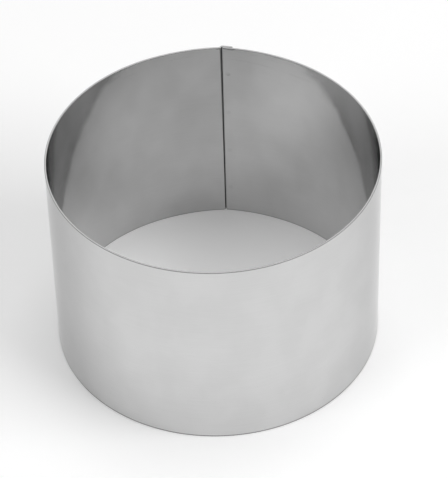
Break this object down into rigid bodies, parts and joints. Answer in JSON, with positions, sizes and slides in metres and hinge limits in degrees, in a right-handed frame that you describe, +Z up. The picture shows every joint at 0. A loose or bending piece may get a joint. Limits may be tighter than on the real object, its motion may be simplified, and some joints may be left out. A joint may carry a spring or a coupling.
{
  "type": "pastry mold",
  "caption": "Open round ring of rolled stainless steel sheet with a spot-welded lap seam, for shaping and cutting cakes, pastry and desserts.",
  "frame": {"origin": "on the ring's axis, in the plane that the ring stands on", "axes": "+Z up along the ring's axis; +Y from the axis towards the inner cut end of the lapped seam"},
  "size_m": [0.088, 0.0894, 0.06],
  "materials": {
    "steel": "satin stainless steel sheet, smooth, with faint rolling marks"
  },
  "bodies": {
    "root": {"mould_ring": "steel"}
  },
  "joints": []
}
